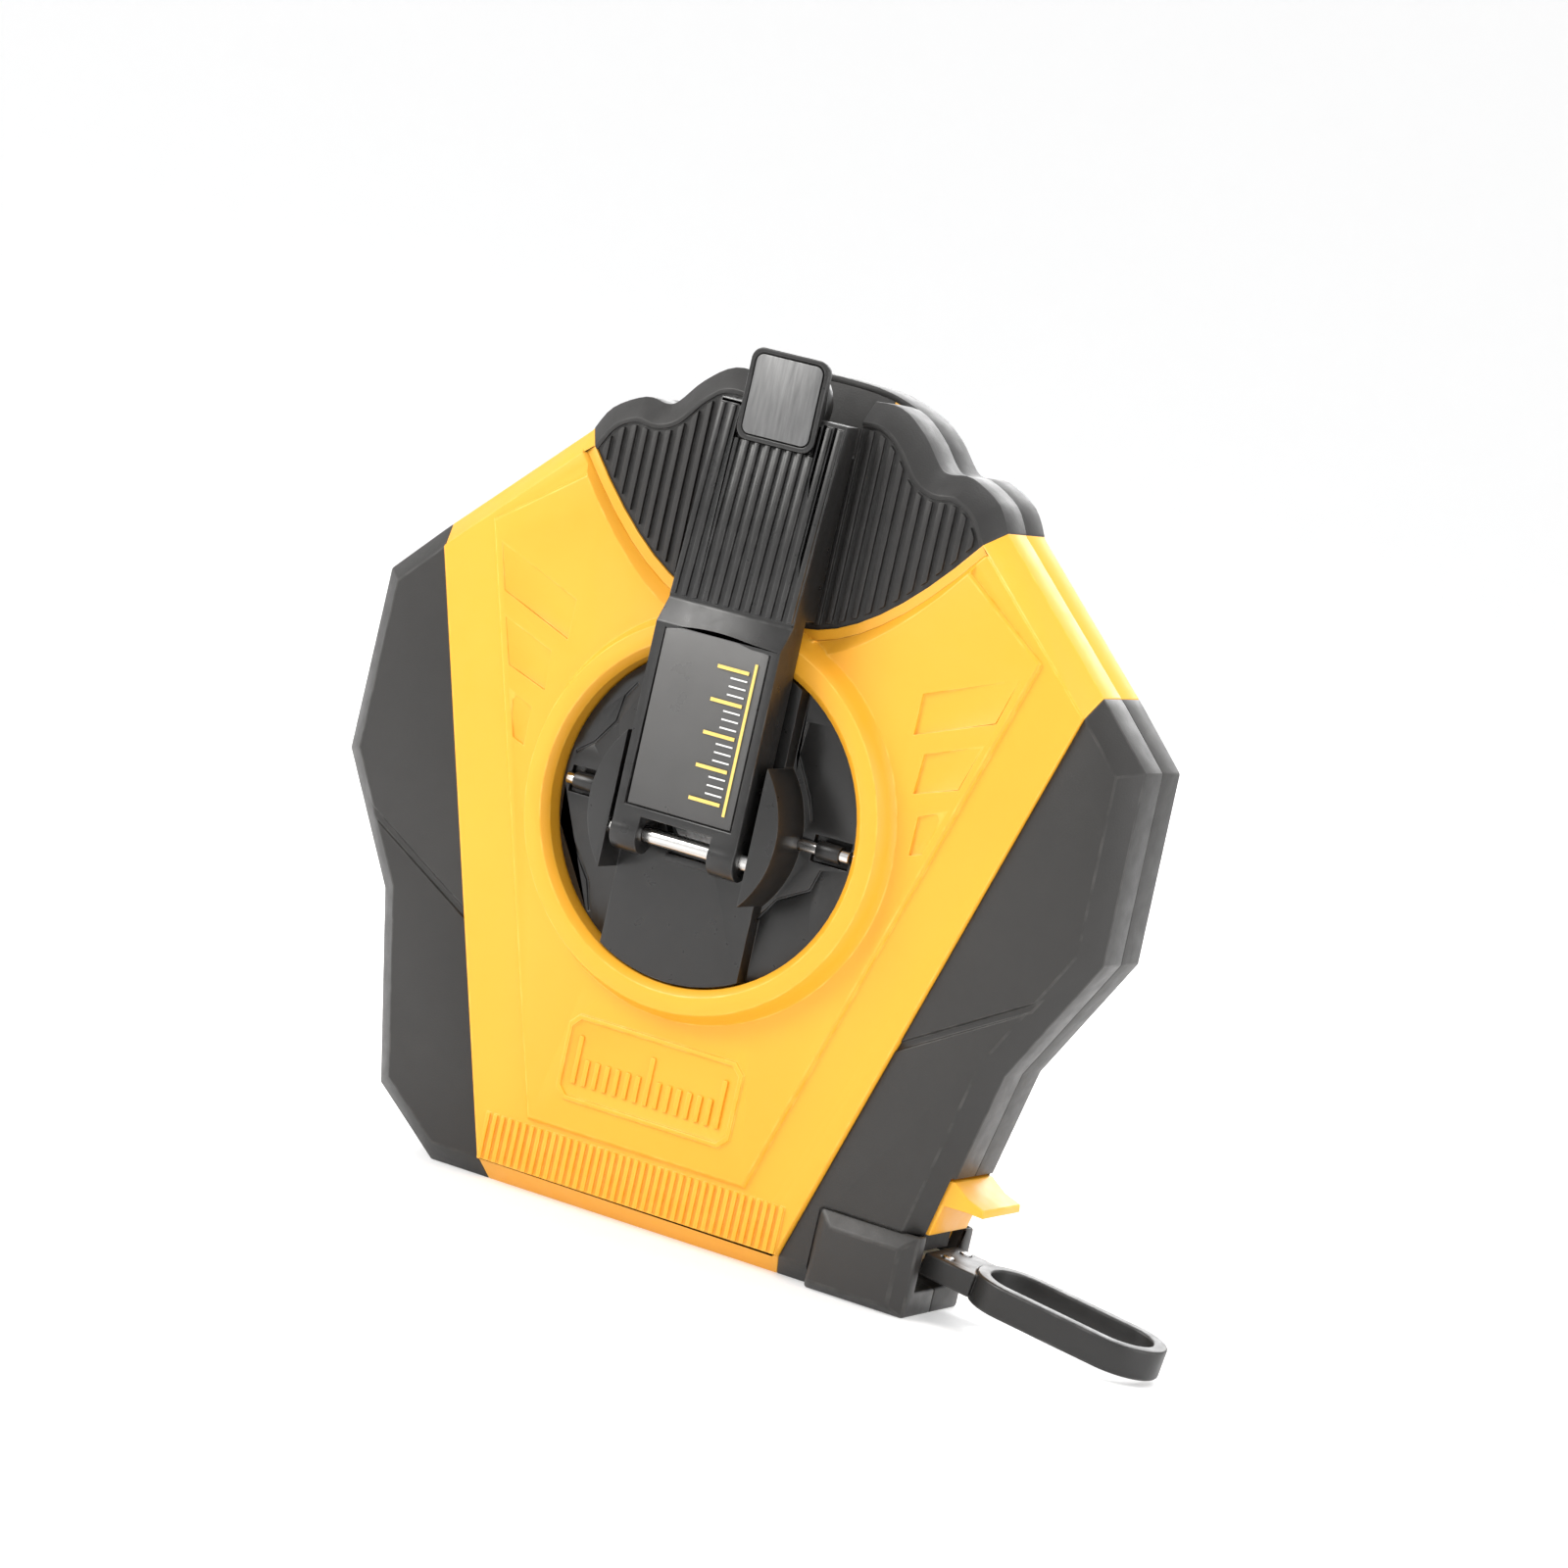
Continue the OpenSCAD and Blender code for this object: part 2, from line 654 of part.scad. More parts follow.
// spool with the sun gear, turning on the axle
flange_r = roll_r + 1.6;
half_tape = tape_w / 2 + tape_gap;
web_y = gear_end + 0.8;
module spool_core() {
    color("darkorange") difference() {
        union() {
            slab(carrier_y + run, gear_end) gear_outline(sun_n, 90 + 180 / sun_n);
            bar(0, 0, axle_r + 3.8, carrier_y + run, axle_boss_y - run);
            bar(0, 0, core_r, web_y, web_y + 1.6);
            bar(0, 0, sun_n * gear_m / 2 - 1.3, gear_end - eps, web_y + eps);
            difference() {
                bar(0, 0, core_r, -half_tape - flange_t, half_tape);
                bar(0, 0, core_r - 1.4, -big, big);
            }
            difference() {
                bar(0, 0, flange_r, -half_tape - flange_t, -half_tape);
                bar(0, 0, core_r - 1, -big, big);
            }
        }
        bar(0, 0, axle_r + fit, -big, big);
    }
}
module spool_flange() {
    color("darkorange") difference() {
        bar(0, 0, flange_r, half_tape, half_tape + flange_t);
        bar(0, 0, core_r - 1.4, -big, big);
    }
}
module tape_roll() {
    color("lemonchiffon") difference() {
        bar(0, 0, roll_r, -tape_w / 2, tape_w / 2);
        bar(0, 0, core_r, -big, big);
    }
}

// crank arm, lying up the front at rest
arm_back = front - shield_h - 0.9;
arm_back_ring = front - ring_h - 0.35;
arm_low = hinge_z + 3.4;
label_top = 35.5;
rib_low = 40;
arm_top = 79.4;
label_y = front - label_h;
function rib_y(z) = front - rib_low_h + (rib_low_h - rib_high_h) * (z - rib_low) / (78.3 - rib_low);
module arm_profile() {
    polygon([[label_y, arm_low], [label_y, label_top], [rib_y(rib_low), rib_low], [rib_y(arm_top), arm_top],
        [arm_back, arm_top], [arm_back, ring_out + 1.4], [arm_back_ring, ring_out + 1.4],
        [arm_back_ring, arm_low]]);
}
// extrudes a [depth, up] outline across the width
module across(x0, x1) {
    translate([x0, 0, hub_z]) rotate([90, 0, 90]) linear_extrude(x1 - x0) children();
}
knob_back = arm_back;
knob_front = rib_y(78.3) + 1.7;
ear_in = 7.8;
module crank_arm() {
    rib_step = 2 * (arm_x - 0.9) / (arm_ribs - 1);
    color(black) difference() {
        union() {
            across(-arm_x, arm_x) arm_profile();
            for (i = [0:arm_ribs - 1]) {
                x = -arm_x + 0.9 + i * rib_step;
                across(x - 0.6, x + 0.6) polygon([[rib_y(rib_low + 1) - 0.7, rib_low + 1],
                    [rib_y(arm_top - 1) - 0.7, arm_top - 1], [rib_y(arm_top) + 1, arm_top - 1],
                    [rib_y(rib_low) + 1, rib_low + 1]]);
            }
            for (s = [0, 1]) mirror([s, 0, 0]) {
                translate([ear_in, hinge_y, hub_z + hinge_z]) rotate([0, 90, 0])
                    cylinder(r = 4.1, h = arm_x - ear_in);
                box(ear_in, arm_x, label_y, arm_back_ring, hinge_z, arm_low + eps);
            }
            slab(rib_y(78.3), knob_front - run) knob_plate(cap_x - 1.2);
        }
        translate([-arm_x - 1, hinge_y, hub_z + hinge_z]) rotate([0, 90, 0])
            cylinder(r = hinge_r + fit, h = 2 * arm_x + 2);
        bar(0, knob_z, knob_r + 0.6, knob_front - run, 0);
        slab(-big, rib_y(78.3)) knob_plate(cap_x + 0.1);
        bar(0, knob_z, knob_pin_r, -big, 0);
        across(-arm_x + 2, arm_x - 2) polygon([[label_y - 1, 0], [label_y + 0.8, 0],
            [label_y + 0.8, label_top - 1.4], [label_y - 1, label_top - 1.4]]);
    }
}
knob_pin_r = 2;
module knob_plate(half) {
    translate([-half, knob_z - half - 0.4]) square([2 * half, 2 * half + 0.8]);
}
module label_plate() {
    color([0.35, 0.34, 0.33]) box(-arm_x + 2.3, arm_x - 2.3, label_y + 0.15, label_y + 0.8,
        0.3, label_top - 1.7);
}
cap_y = rib_y(78.3) - 1.6;
module end_cap() {
    color(black) difference() {
        slab(cap_y, rib_y(78.3)) difference() {
            rounded(cap_x, cap_x + 0.5, 2.5);
            rounded(cap_x - 4, cap_x - 4, 1.5);
        }
        slab(cap_y - 1, cap_y + 0.6) rounded(cap_x - 1, cap_x - 0.5, 1.8);
    }
}
module rounded(hx, hz, r) {
    translate([0, knob_z]) {
        square([2 * hx - 2 * r, 2 * hz], center = true);
        square([2 * hx, 2 * hz - 2 * r], center = true);
        for (sx = [-1, 1], sz = [-1, 1]) translate([sx * (hx - r), sz * (hz - r)]) circle(r);
    }
}
module cap_pad() {
    color("silver") slab(cap_y - 0.1, cap_y + 0.6) rounded(cap_x - 1.2, cap_x - 0.7, 1.6);
}
module knob_pin() {
    color(steel) {
        bar(0, knob_z, knob_pin_r, rib_y(78.3) - 0.3, knob_back - 0.1);
        bar(0, knob_z, 3.4, rib_y(78.3) - 0.8, rib_y(78.3));
        bar(0, knob_z, 3, knob_back - 0.9, knob_back - 0.1);
    }
}
module knob() {
    color(black) difference() {
        union() {
            bar(0, knob_z, knob_r, knob_front, knob_back - 0.8);
            bar(0, knob_z, knob_r - 0.8, knob_front, knob_back);
        }
        bar(0, knob_z, knob_pin_r + fit, -big, 0);
        bar(0, knob_z, 3.4, knob_back - 1.2, 0);
    }
}

// brake lever in the side window, with its shoe over the tape
lever_pin_at = [roll_r - 10.6, -roll_r + 0.6];
lever_pin_r = 1.5;
lever_pin_half = half_t - 1.4;
lever_half = mouth_half - 0.4;
plate_top = window_top - 0.5;
plate_low = mouth_high + 0.6;
module lever_body() {
    slope = (corners[2][0] - corners[1][0]) / (corners[2][1] - corners[1][1]);
    x_top = corners[1][0] + chamfer_w + slope * (plate_top - corners[1][1]);
    x_low = corners[1][0] + chamfer_w + slope * (plate_low - corners[1][1]);
    polygon([[x_low, plate_low], [x_top - slope * 5, plate_top - 5], [x_top + 4, plate_top - 5],
        [x_top + 7.4, plate_top - 5.2], [x_top + 7.2, plate_top - 3.6], [x_top + 3.6, plate_top - 2.4],
        [x_top + 0.2, plate_top], [x_top - 2, plate_top],
        [lever_pin_at[0] + 1, lever_pin_at[1] + 3.2], [lever_pin_at[0] - 2.6, lever_pin_at[1] + 2.4],
        [lever_pin_at[0] - 2.6, plate_low]]);
}
module brake_lever() {
    color(yellow) difference() {
        slab(-lever_half, lever_half) lever_body();
        bar(lever_pin_at[0], lever_pin_at[1], lever_pin_r + fit, -big, big);
        box(lever_pin_at[0] - 5, lever_pin_at[0] + 3.2, -3, 3, lever_pin_at[1] - 5, lever_pin_at[1] + 5);
    }
}
function tape_top(x) = -(tape_line - tape_t / 2) / cos(hook_tilt) - x * tan(hook_tilt);
shoe_x = [roll_r - 8, roll_r - 2.6];
shoe_gap = 1.35;
module brake_shoe() {
    color([0.1, 0.1, 0.1]) slab(-tape_w / 2, tape_w / 2) polygon([[shoe_x[0], plate_low],
        [shoe_x[0], tape_top(shoe_x[0]) + shoe_gap], [shoe_x[1], tape_top(shoe_x[1]) + shoe_gap],
        [shoe_x[1], plate_low]]);
}
module lever_pin() {
    color(steel) bar(lever_pin_at[0], lever_pin_at[1], lever_pin_r, -lever_pin_half, lever_pin_half);
}
module lever_spring() {
    color(steel) translate([lever_pin_at[0], 0, hub_z + lever_pin_at[1]]) rotate([-90, 0, 0])
        rotate_extrude() for (k = [-2:2]) translate([lever_pin_r + 0.6, k * 0.9]) circle(0.5, $fn = 24);
}

// straight tape end, hook and the roller under the mouth
tape_line = roll_r + 0.65;
module on_tape() {
    translate([0, 0, hub_z]) rotate([0, hook_tilt, 0]) translate([0, 0, -hub_z]) children();
}
stem_start = roll_r + 7.5;
loop_start = roll_r + 16.6;
module tape_end() {
    color("lemonchiffon") on_tape() difference() {
        box(1, stem_start + 7, -tape_w / 2, tape_w / 2,
            -tape_line - tape_t / 2, -tape_line + tape_t / 2);
        for (y = [-4, 4]) rivet(y, 1.1, 5);
    }
}
stem_half = tape_w / 2 + 0.5;
stem_h = 4.6;
module hook() {
    color(black) on_tape() difference() {
        union() {
            box(stem_start, loop_start + 2, -stem_half, stem_half, -tape_line - stem_h / 2,
                -tape_line + stem_h / 2);
            slab_flat(-tape_line - loop_h / 2, -tape_line + loop_h / 2) stadium(0);
        }
        slab_flat(-tape_line - loop_h, -tape_line + loop_h) stadium(loop_wall);
        box(stem_start - 1, stem_start + 7.2, -tape_w / 2 - 0.1, tape_w / 2 + 0.1,
            -tape_line - tape_t / 2, -tape_line + tape_t / 2);
        for (y = [-4, 4]) rivet(y, 1.1, 5);
    }
}
// extrudes an [across, back] outline upwards
module slab_flat(z0, z1) {
    translate([0, 0, hub_z + z0]) linear_extrude(z1 - z0) children();
}
module stadium(inset) {
    r = loop_w / 2 - inset;
    x0 = loop_start + loop_w / 2;
    x1 = loop_start + loop_len - loop_w / 2;
    translate([x0, 0]) circle(r);
    translate([x1, 0]) circle(r);
    translate([x0, -r]) square([x1 - x0, 2 * r]);
}
module rivet(y, r, h) {
    translate([stem_start + 3.6, y, hub_z - tape_line - h]) cylinder(r = r, h = 2 * h);
}
module hook_rivets() {
    color(steel) on_tape() for (y = [-4, 4]) rivet(y, 1.1, stem_h / 2 + 0.3);
}
roller_r = 2.2;
roller_at = [roll_r - 8.4, -(tape_line + tape_t / 2 + roller_r + 0.25 + sin(hook_tilt)
    * (roll_r - 8.4)) / cos(hook_tilt)];
roller_pin_r = 1;
module mouth_roller() {
    color("whitesmoke") difference() {
        bar(roller_at[0], roller_at[1], roller_r, -mouth_half + 0.4, mouth_half - 0.4);
        bar(roller_at[0], roller_at[1], roller_pin_r + fit, -big, big);
    }
}
module roller_pin() {
    color(steel) bar(roller_at[0], roller_at[1], roller_pin_r, -lever_pin_half, lever_pin_half);
}

front_shell();
back_shell();
front_left_skin();
front_right_skin();
back_left_skin();
back_right_skin();
front_grip();
back_grip();
front_nose();
back_nose();
case_screws();
axle();
axle_screw();
hub_clip();
ring_gear();
ring_gear_screws();
crank_hub();
hinge_pin();
latch_pins();
latch_sleeves();
planet_pins();
planet_gear_1();
planet_gear_2();
planet_gear_3();
spool_core();
spool_flange();
tape_roll();
crank_arm();
label_plate();
end_cap();
cap_pad();
knob_pin();
knob();
brake_lever();
brake_shoe();
lever_pin();
lever_spring();
mouth_roller();
roller_pin();
tape_end();
hook();
hook_rivets();
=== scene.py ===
"""A closed-case surveyor tape reel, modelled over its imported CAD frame. Metres; front at -Y."""
import math

import bmesh
import bpy
from mathutils import Matrix, Vector


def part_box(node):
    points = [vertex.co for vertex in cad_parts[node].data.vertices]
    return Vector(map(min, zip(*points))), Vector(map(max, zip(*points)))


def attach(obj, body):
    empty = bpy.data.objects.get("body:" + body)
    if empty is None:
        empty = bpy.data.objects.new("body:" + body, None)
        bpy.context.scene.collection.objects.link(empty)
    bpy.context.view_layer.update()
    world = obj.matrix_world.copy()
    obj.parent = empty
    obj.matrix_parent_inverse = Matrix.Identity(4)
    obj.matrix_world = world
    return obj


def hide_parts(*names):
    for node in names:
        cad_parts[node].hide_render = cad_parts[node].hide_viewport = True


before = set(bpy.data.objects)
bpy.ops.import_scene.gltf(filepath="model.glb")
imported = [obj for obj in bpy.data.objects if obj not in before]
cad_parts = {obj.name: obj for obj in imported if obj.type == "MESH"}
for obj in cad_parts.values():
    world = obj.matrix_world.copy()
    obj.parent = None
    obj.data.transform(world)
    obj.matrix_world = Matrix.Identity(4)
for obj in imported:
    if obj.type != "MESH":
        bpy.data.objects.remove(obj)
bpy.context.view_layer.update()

MM = 0.001
TOUCH = 5e-5            # two places closer than this, in metres, count as one
SHIELD_RISE = 2 * MM    # how far the shield and the bands stand above the black face
BAND_RISE = 1 * MM
BEVEL_ANGLE = math.radians(28)
SMOOTH_ANGLE = math.radians(38)

hub_low, hub_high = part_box("crank_hub")
arm_low, arm_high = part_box("crank_arm")
hub = (hub_low + hub_high) / 2
face_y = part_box("front_left_skin")[0].y
shield_y = face_y - SHIELD_RISE
band_y = face_y - BAND_RISE
label_y = arm_low.y
arm_half = arm_high.x


def at(x, z, y=0.0):
    """A point given in millimetres from the hub axis, at depth y in metres."""
    return Vector((hub.x + x * MM, y, hub.z + z * MM))


# ---------------------------------------------------------------- camera and studio

def add_camera():
    turn, rise, roll = math.radians(25.65), math.radians(6.58), math.radians(12.71)
    distance, aim_right, aim_up = 1.0107, 13.64 * MM, 6.37 * MM
    back = Vector((math.sin(turn) * math.cos(rise), -math.cos(turn) * math.cos(rise),
                   math.sin(rise)))
    level = Vector((math.cos(turn), math.sin(turn), 0))
    upright = back.cross(level)
    right = math.cos(roll) * level + math.sin(roll) * upright
    up = -math.sin(roll) * level + math.cos(roll) * upright
    place = at(0, 0, face_y) + aim_right * right + aim_up * up + distance * back
    bpy.ops.object.camera_add(location=place)
    camera = bpy.context.object
    facing = Matrix((right, up, back)).transposed().to_4x4()
    camera.matrix_world = Matrix.Translation(place) @ facing
    camera.data.sensor_width = 36
    camera.data.lens = 120.7
    bpy.context.scene.camera = camera


def add_softbox(name, place, size, power, tint=(1, 1, 1)):
    """An area light that looks at the middle of the case."""
    bpy.ops.object.light_add(type="AREA", location=place)
    lamp = bpy.context.object
    lamp.name = name
    lamp.rotation_euler = (hub - Vector(place)).to_track_quat("-Z", "Y").to_euler()
    lamp.data.shape = "RECTANGLE"
    lamp.data.size, lamp.data.size_y = size
    lamp.data.energy = power
    lamp.data.color = tint


def add_backdrop():
    """A round floor that sweeps up into a wall, well outside the lights."""
    bpy.ops.mesh.primitive_circle_add(vertices=96, radius=3, fill_type="NGON")
    floor = bpy.context.object
    floor.name = "studio_floor"
    bpy.ops.object.mode_set(mode="EDIT")
    bpy.ops.mesh.select_mode(type="EDGE")
    bpy.ops.mesh.select_all(action="SELECT")
    bpy.ops.mesh.region_to_loop()
    bpy.ops.mesh.extrude_edges_move(TRANSFORM_OT_translate={"value": (0, 0, 4)})
    bpy.ops.mesh.select_all(action="DESELECT")
    bpy.ops.object.mode_set(mode="OBJECT")
    bevel_where(floor, lambda low, high: abs(low.z) + abs(high.z) < 1e-6, 1.6, 16)
    hold(floor)
    bpy.ops.object.shade_smooth_by_angle(angle=math.radians(40))
    floor.data.materials.append(studio_paper())


def add_studio():
    add_backdrop()
    bpy.context.scene.view_settings.view_transform = "Standard"
    world = bpy.data.worlds.new("pale_room")
    bpy.context.scene.world = world
    world.use_nodes = True
    world.node_tree.nodes["Background"].inputs["Color"].default_value = (0.97, 0.98, 1, 1)
    world.node_tree.nodes["Background"].inputs["Strength"].default_value = 0.5
    add_softbox("key_light", (-0.8, -0.8, 0.85), (0.7, 0.7), 14, (1, 0.985, 0.96))
    add_softbox("side_light", (1.0, -0.15, 0.4), (0.3, 0.9), 4)
    add_softbox("top_light", (0.1, 0.3, 1.0), (0.8, 0.3), 8)
    add_softbox("back_light", (-0.3, 1.0, 0.5), (0.9, 0.6), 8)


def studio_paper():
    """Pale paper that also glows evenly, so that the floor and the wall come out white."""
    mat, nodes, links, shader = new_finish("studio_paper", (0.62, 0.62, 0.62), 0.8)
    shader.inputs["Emission Color"].default_value = (1, 1, 1, 1)
    shader.inputs["Emission Strength"].default_value = 0.4
    vary_roughness(nodes, links, shader, 14, 0.72, 0.88)
    return mat


# ---------------------------------------------------------------- finishes

def new_finish(name, colour, roughness, metallic=0.0):
    mat = bpy.data.materials.new(name)
    mat.use_nodes = True
    nodes, links = mat.node_tree.nodes, mat.node_tree.links
    shader = nodes["Principled BSDF"]
    shader.inputs["Base Color"].default_value = (*colour, 1)
    shader.inputs["Roughness"].default_value = roughness
    shader.inputs["Metallic"].default_value = metallic
    return mat, nodes, links, shader


def object_place(nodes, links, stretch=(1, 1, 1)):
    """Object coordinates about the hub axis, stretched to lay a pattern one way."""
    where = nodes.new("ShaderNodeTexCoord")
    shift = nodes.new("ShaderNodeMapping")
    shift.vector_type = "POINT"
    shift.inputs["Location"].default_value = [-hub[i] * stretch[i] for i in range(3)]
    shift.inputs["Scale"].default_value = stretch
    links.new(where.outputs["Object"], shift.inputs["Vector"])
    return shift.outputs["Vector"]


def noise(nodes, links, scale, detail=4.0, stretch=(1, 1, 1)):
    cloud = nodes.new("ShaderNodeTexNoise")
    cloud.inputs["Scale"].default_value = scale
    cloud.inputs["Detail"].default_value = detail
    links.new(object_place(nodes, links, stretch), cloud.inputs["Vector"])
    return cloud.outputs["Fac"]


def remap(nodes, links, value, low, high, to_low, to_high):
    span = nodes.new("ShaderNodeMapRange")
    span.inputs["From Min"].default_value = low
    span.inputs["From Max"].default_value = high
    span.inputs["To Min"].default_value = to_low
    span.inputs["To Max"].default_value = to_high
    links.new(value, span.inputs["Value"])
    return span.outputs["Result"]


def mixed(nodes, links, amount, first, second):
    """Blends two colours, each a plain colour or another node's output."""
    blend = nodes.new("ShaderNodeMix")
    blend.data_type = "RGBA"
    links.new(amount, blend.inputs["Factor"])
    for socket, colour in ((blend.inputs["A"], first), (blend.inputs["B"], second)):
        if isinstance(colour, tuple):
            socket.default_value = (*colour, 1)
        else:
            links.new(colour, socket)
    return blend.outputs["Result"]


def vary_roughness(nodes, links, shader, scale, low, high):
    gloss = remap(nodes, links, noise(nodes, links, scale), 0.3, 0.7, low, high)
    links.new(gloss, shader.inputs["Roughness"])


def add_grain(nodes, links, shader, scale, depth, stretch=(1, 1, 1)):
    bump = nodes.new("ShaderNodeBump")
    bump.inputs["Strength"].default_value = 0.5
    bump.inputs["Distance"].default_value = depth
    links.new(noise(nodes, links, scale, 3, stretch), bump.inputs["Height"])
    links.new(bump.outputs["Normal"], shader.inputs["Normal"])


rubbed_finish = {}


def moulded_plastic(name, colour, shade, worn, rough, grain_depth, coat=0.0):
    """Moulded plastic with a fine grain and uneven gloss, and a rubbed twin for its edges."""
    for kind, other, low, high in (("", shade, 0.3, 0.7), ("_rubbed", worn, 0.42, 0.66)):
        mat, nodes, links, shader = new_finish(name + kind, colour, rough)
        patch = remap(nodes, links, noise(nodes, links, 260 if kind else 38, 5), low, high, 0, 1)
        links.new(mixed(nodes, links, patch, colour, other), shader.inputs["Base Color"])
        vary_roughness(nodes, links, shader, 320, rough - 0.05, rough + 0.06)
        add_grain(nodes, links, shader, 2600, grain_depth)
        shader.inputs["Coat Weight"].default_value = coat
        shader.inputs["Coat Roughness"].default_value = 0.3
        shader.inputs["Specular IOR Level"].default_value = 0.45
        if kind:
            rubbed_finish[name] = mat
        else:
            plain = mat
    return plain


def drawn_steel(name, colour, rough, stretch):
    """Drawn or brushed steel, with fine scratches along one axis."""
    mat, nodes, links, shader = new_finish(name, colour, rough, 1)
    streak = remap(nodes, links, noise(nodes, links, 1400, 4, stretch), 0.3, 0.7, 0, 1)
    dull = tuple(c * 0.72 for c in colour)
    links.new(mixed(nodes, links, streak, dull, colour), shader.inputs["Base Color"])
    gloss = remap(nodes, links, noise(nodes, links, 900, 4, stretch), 0.3, 0.7,
                  rough - 0.08, rough + 0.14)
    links.new(gloss, shader.inputs["Roughness"])
    add_grain(nodes, links, shader, 1800, 0.00002, stretch)
    return mat


def label_film():
    """Smoked film: darker towards the foot, with a soft sheen and faint smudges."""
    mat, nodes, links, shader = new_finish("smoked_label_film", (0.09, 0.09, 0.09), 0.3)
    where = nodes.new("ShaderNodeSeparateXYZ")
    links.new(object_place(nodes, links), where.inputs["Vector"])
    height = remap(nodes, links, where.outputs["Z"], 0, 0.036, 0, 1)
    fade = mixed(nodes, links, height, (0.045, 0.044, 0.043), (0.13, 0.128, 0.125))
    smudge = remap(nodes, links, noise(nodes, links, 60, 2), 0.4, 0.7, 0, 0.12)
    links.new(mixed(nodes, links, smudge, fade, (0.16, 0.158, 0.155)), shader.inputs["Base Color"])
    vary_roughness(nodes, links, shader, 160, 0.26, 0.38)
    add_grain(nodes, links, shader, 3000, 0.000008)
    return mat


def wound_tape():
    """Edges of the wound turns: fine rings about the hub axis."""
    mat, nodes, links, shader = new_finish("wound_tape", (0.85, 0.8, 0.55), 0.5)
    rings = nodes.new("ShaderNodeTexWave")
    rings.wave_type = "RINGS"
    rings.rings_direction = "Y"
    rings.inputs["Scale"].default_value = 300
    rings.inputs["Distortion"].default_value = 0.6
    links.new(object_place(nodes, links), rings.inputs["Vector"])
    links.new(mixed(nodes, links, rings.outputs["Fac"], (0.5, 0.46, 0.3), (0.9, 0.86, 0.62)),
              shader.inputs["Base Color"])
    vary_roughness(nodes, links, shader, 300, 0.42, 0.58)
    bump = nodes.new("ShaderNodeBump")
    bump.inputs["Strength"].default_value = 0.4
    bump.inputs["Distance"].default_value = 0.0001
    links.new(rings.outputs["Fac"], bump.inputs["Height"])
    links.new(bump.outputs["Normal"], shader.inputs["Normal"])
    return mat


def coated_fibre():
    """Plastic-coated fibreglass tape: glossy coat over a faint lengthwise weave."""
    mat, nodes, links, shader = new_finish("coated_fibre_tape", (0.88, 0.85, 0.7), 0.4)
    weave = remap(nodes, links, noise(nodes, links, 900, 3, (0.15, 1, 1)), 0.35, 0.65, 0, 1)
    links.new(mixed(nodes, links, weave, (0.78, 0.74, 0.56), (0.92, 0.89, 0.74)),
              shader.inputs["Base Color"])
    vary_roughness(nodes, links, shader, 400, 0.34, 0.46)
    add_grain(nodes, links, shader, 1600, 0.00003, (0.15, 1, 1))
    return mat


def printed_ink(name, colour):
    """Screen-printed ink, slightly uneven in cover and gloss."""
    mat, nodes, links, shader = new_finish(name, colour, 0.5)
    thin = remap(nodes, links, noise(nodes, links, 1500, 5), 0.4, 0.7, 0, 0.5)
    links.new(mixed(nodes, links, thin, colour, tuple(c * 0.7 for c in colour)),
              shader.inputs["Base Color"])
    vary_roughness(nodes, links, shader, 700, 0.4, 0.58)
    add_grain(nodes, links, shader, 4000, 0.00001)
    return mat


yellow_case = moulded_plastic("yellow_case", (0.88, 0.41, 0.026), (0.86, 0.395, 0.023),
                              (0.92, 0.48, 0.06), 0.4, 0.00003)
black_skin = moulded_plastic("black_skin", (0.026, 0.0245, 0.023), (0.022, 0.0207, 0.0195),
                             (0.05, 0.047, 0.044), 0.42, 0.00005)
grip_rubber = moulded_plastic("grip_rubber", (0.022, 0.021, 0.02), (0.018, 0.017, 0.0165),
                              (0.045, 0.043, 0.041), 0.48, 0.00006)
crank_black = moulded_plastic("crank_black", (0.013, 0.0126, 0.0122), (0.0105, 0.01, 0.0098),
                              (0.035, 0.034, 0.033), 0.32, 0.00002, 0.15)
hook_black = moulded_plastic("hook_black", (0.018, 0.0173, 0.0166), (0.014, 0.0134, 0.013),
                             (0.045, 0.043, 0.041), 0.4, 0.00005)
spool_orange = moulded_plastic("spool_orange", (0.8, 0.34, 0.04), (0.72, 0.3, 0.03),
                               (0.85, 0.5, 0.2), 0.45, 0.00003)
gear_nylon = moulded_plastic("gear_nylon", (0.72, 0.7, 0.64), (0.64, 0.62, 0.56),
                             (0.8, 0.78, 0.73), 0.4, 0.00002)
brake_rubber = moulded_plastic("brake_rubber", (0.02, 0.02, 0.02), (0.03, 0.03, 0.03),
                               (0.06, 0.06, 0.06), 0.7, 0.00008)
bright_pin = drawn_steel("bright_pin", (0.78, 0.77, 0.75), 0.2, (0.06, 1, 1))
screw_steel = drawn_steel("screw_steel", (0.6, 0.6, 0.6), 0.32, (1, 0.1, 1))
satin_pad = drawn_steel("satin_pad", (0.2, 0.2, 0.2), 0.45, (1, 1, 0.08))
smoked_film = label_film()
tape_rings = wound_tape()
tape_coat = coated_fibre()
white_ink = printed_ink("white_ink", (0.8, 0.8, 0.78))
yellow_ink = printed_ink("yellow_ink", (0.85, 0.62, 0.16))


# ---------------------------------------------------------------- working on a piece

def deselect():
    bpy.ops.object.select_all(action="DESELECT")


def hold(piece):
    deselect()
    piece.select_set(True)
    bpy.context.view_layer.objects.active = piece


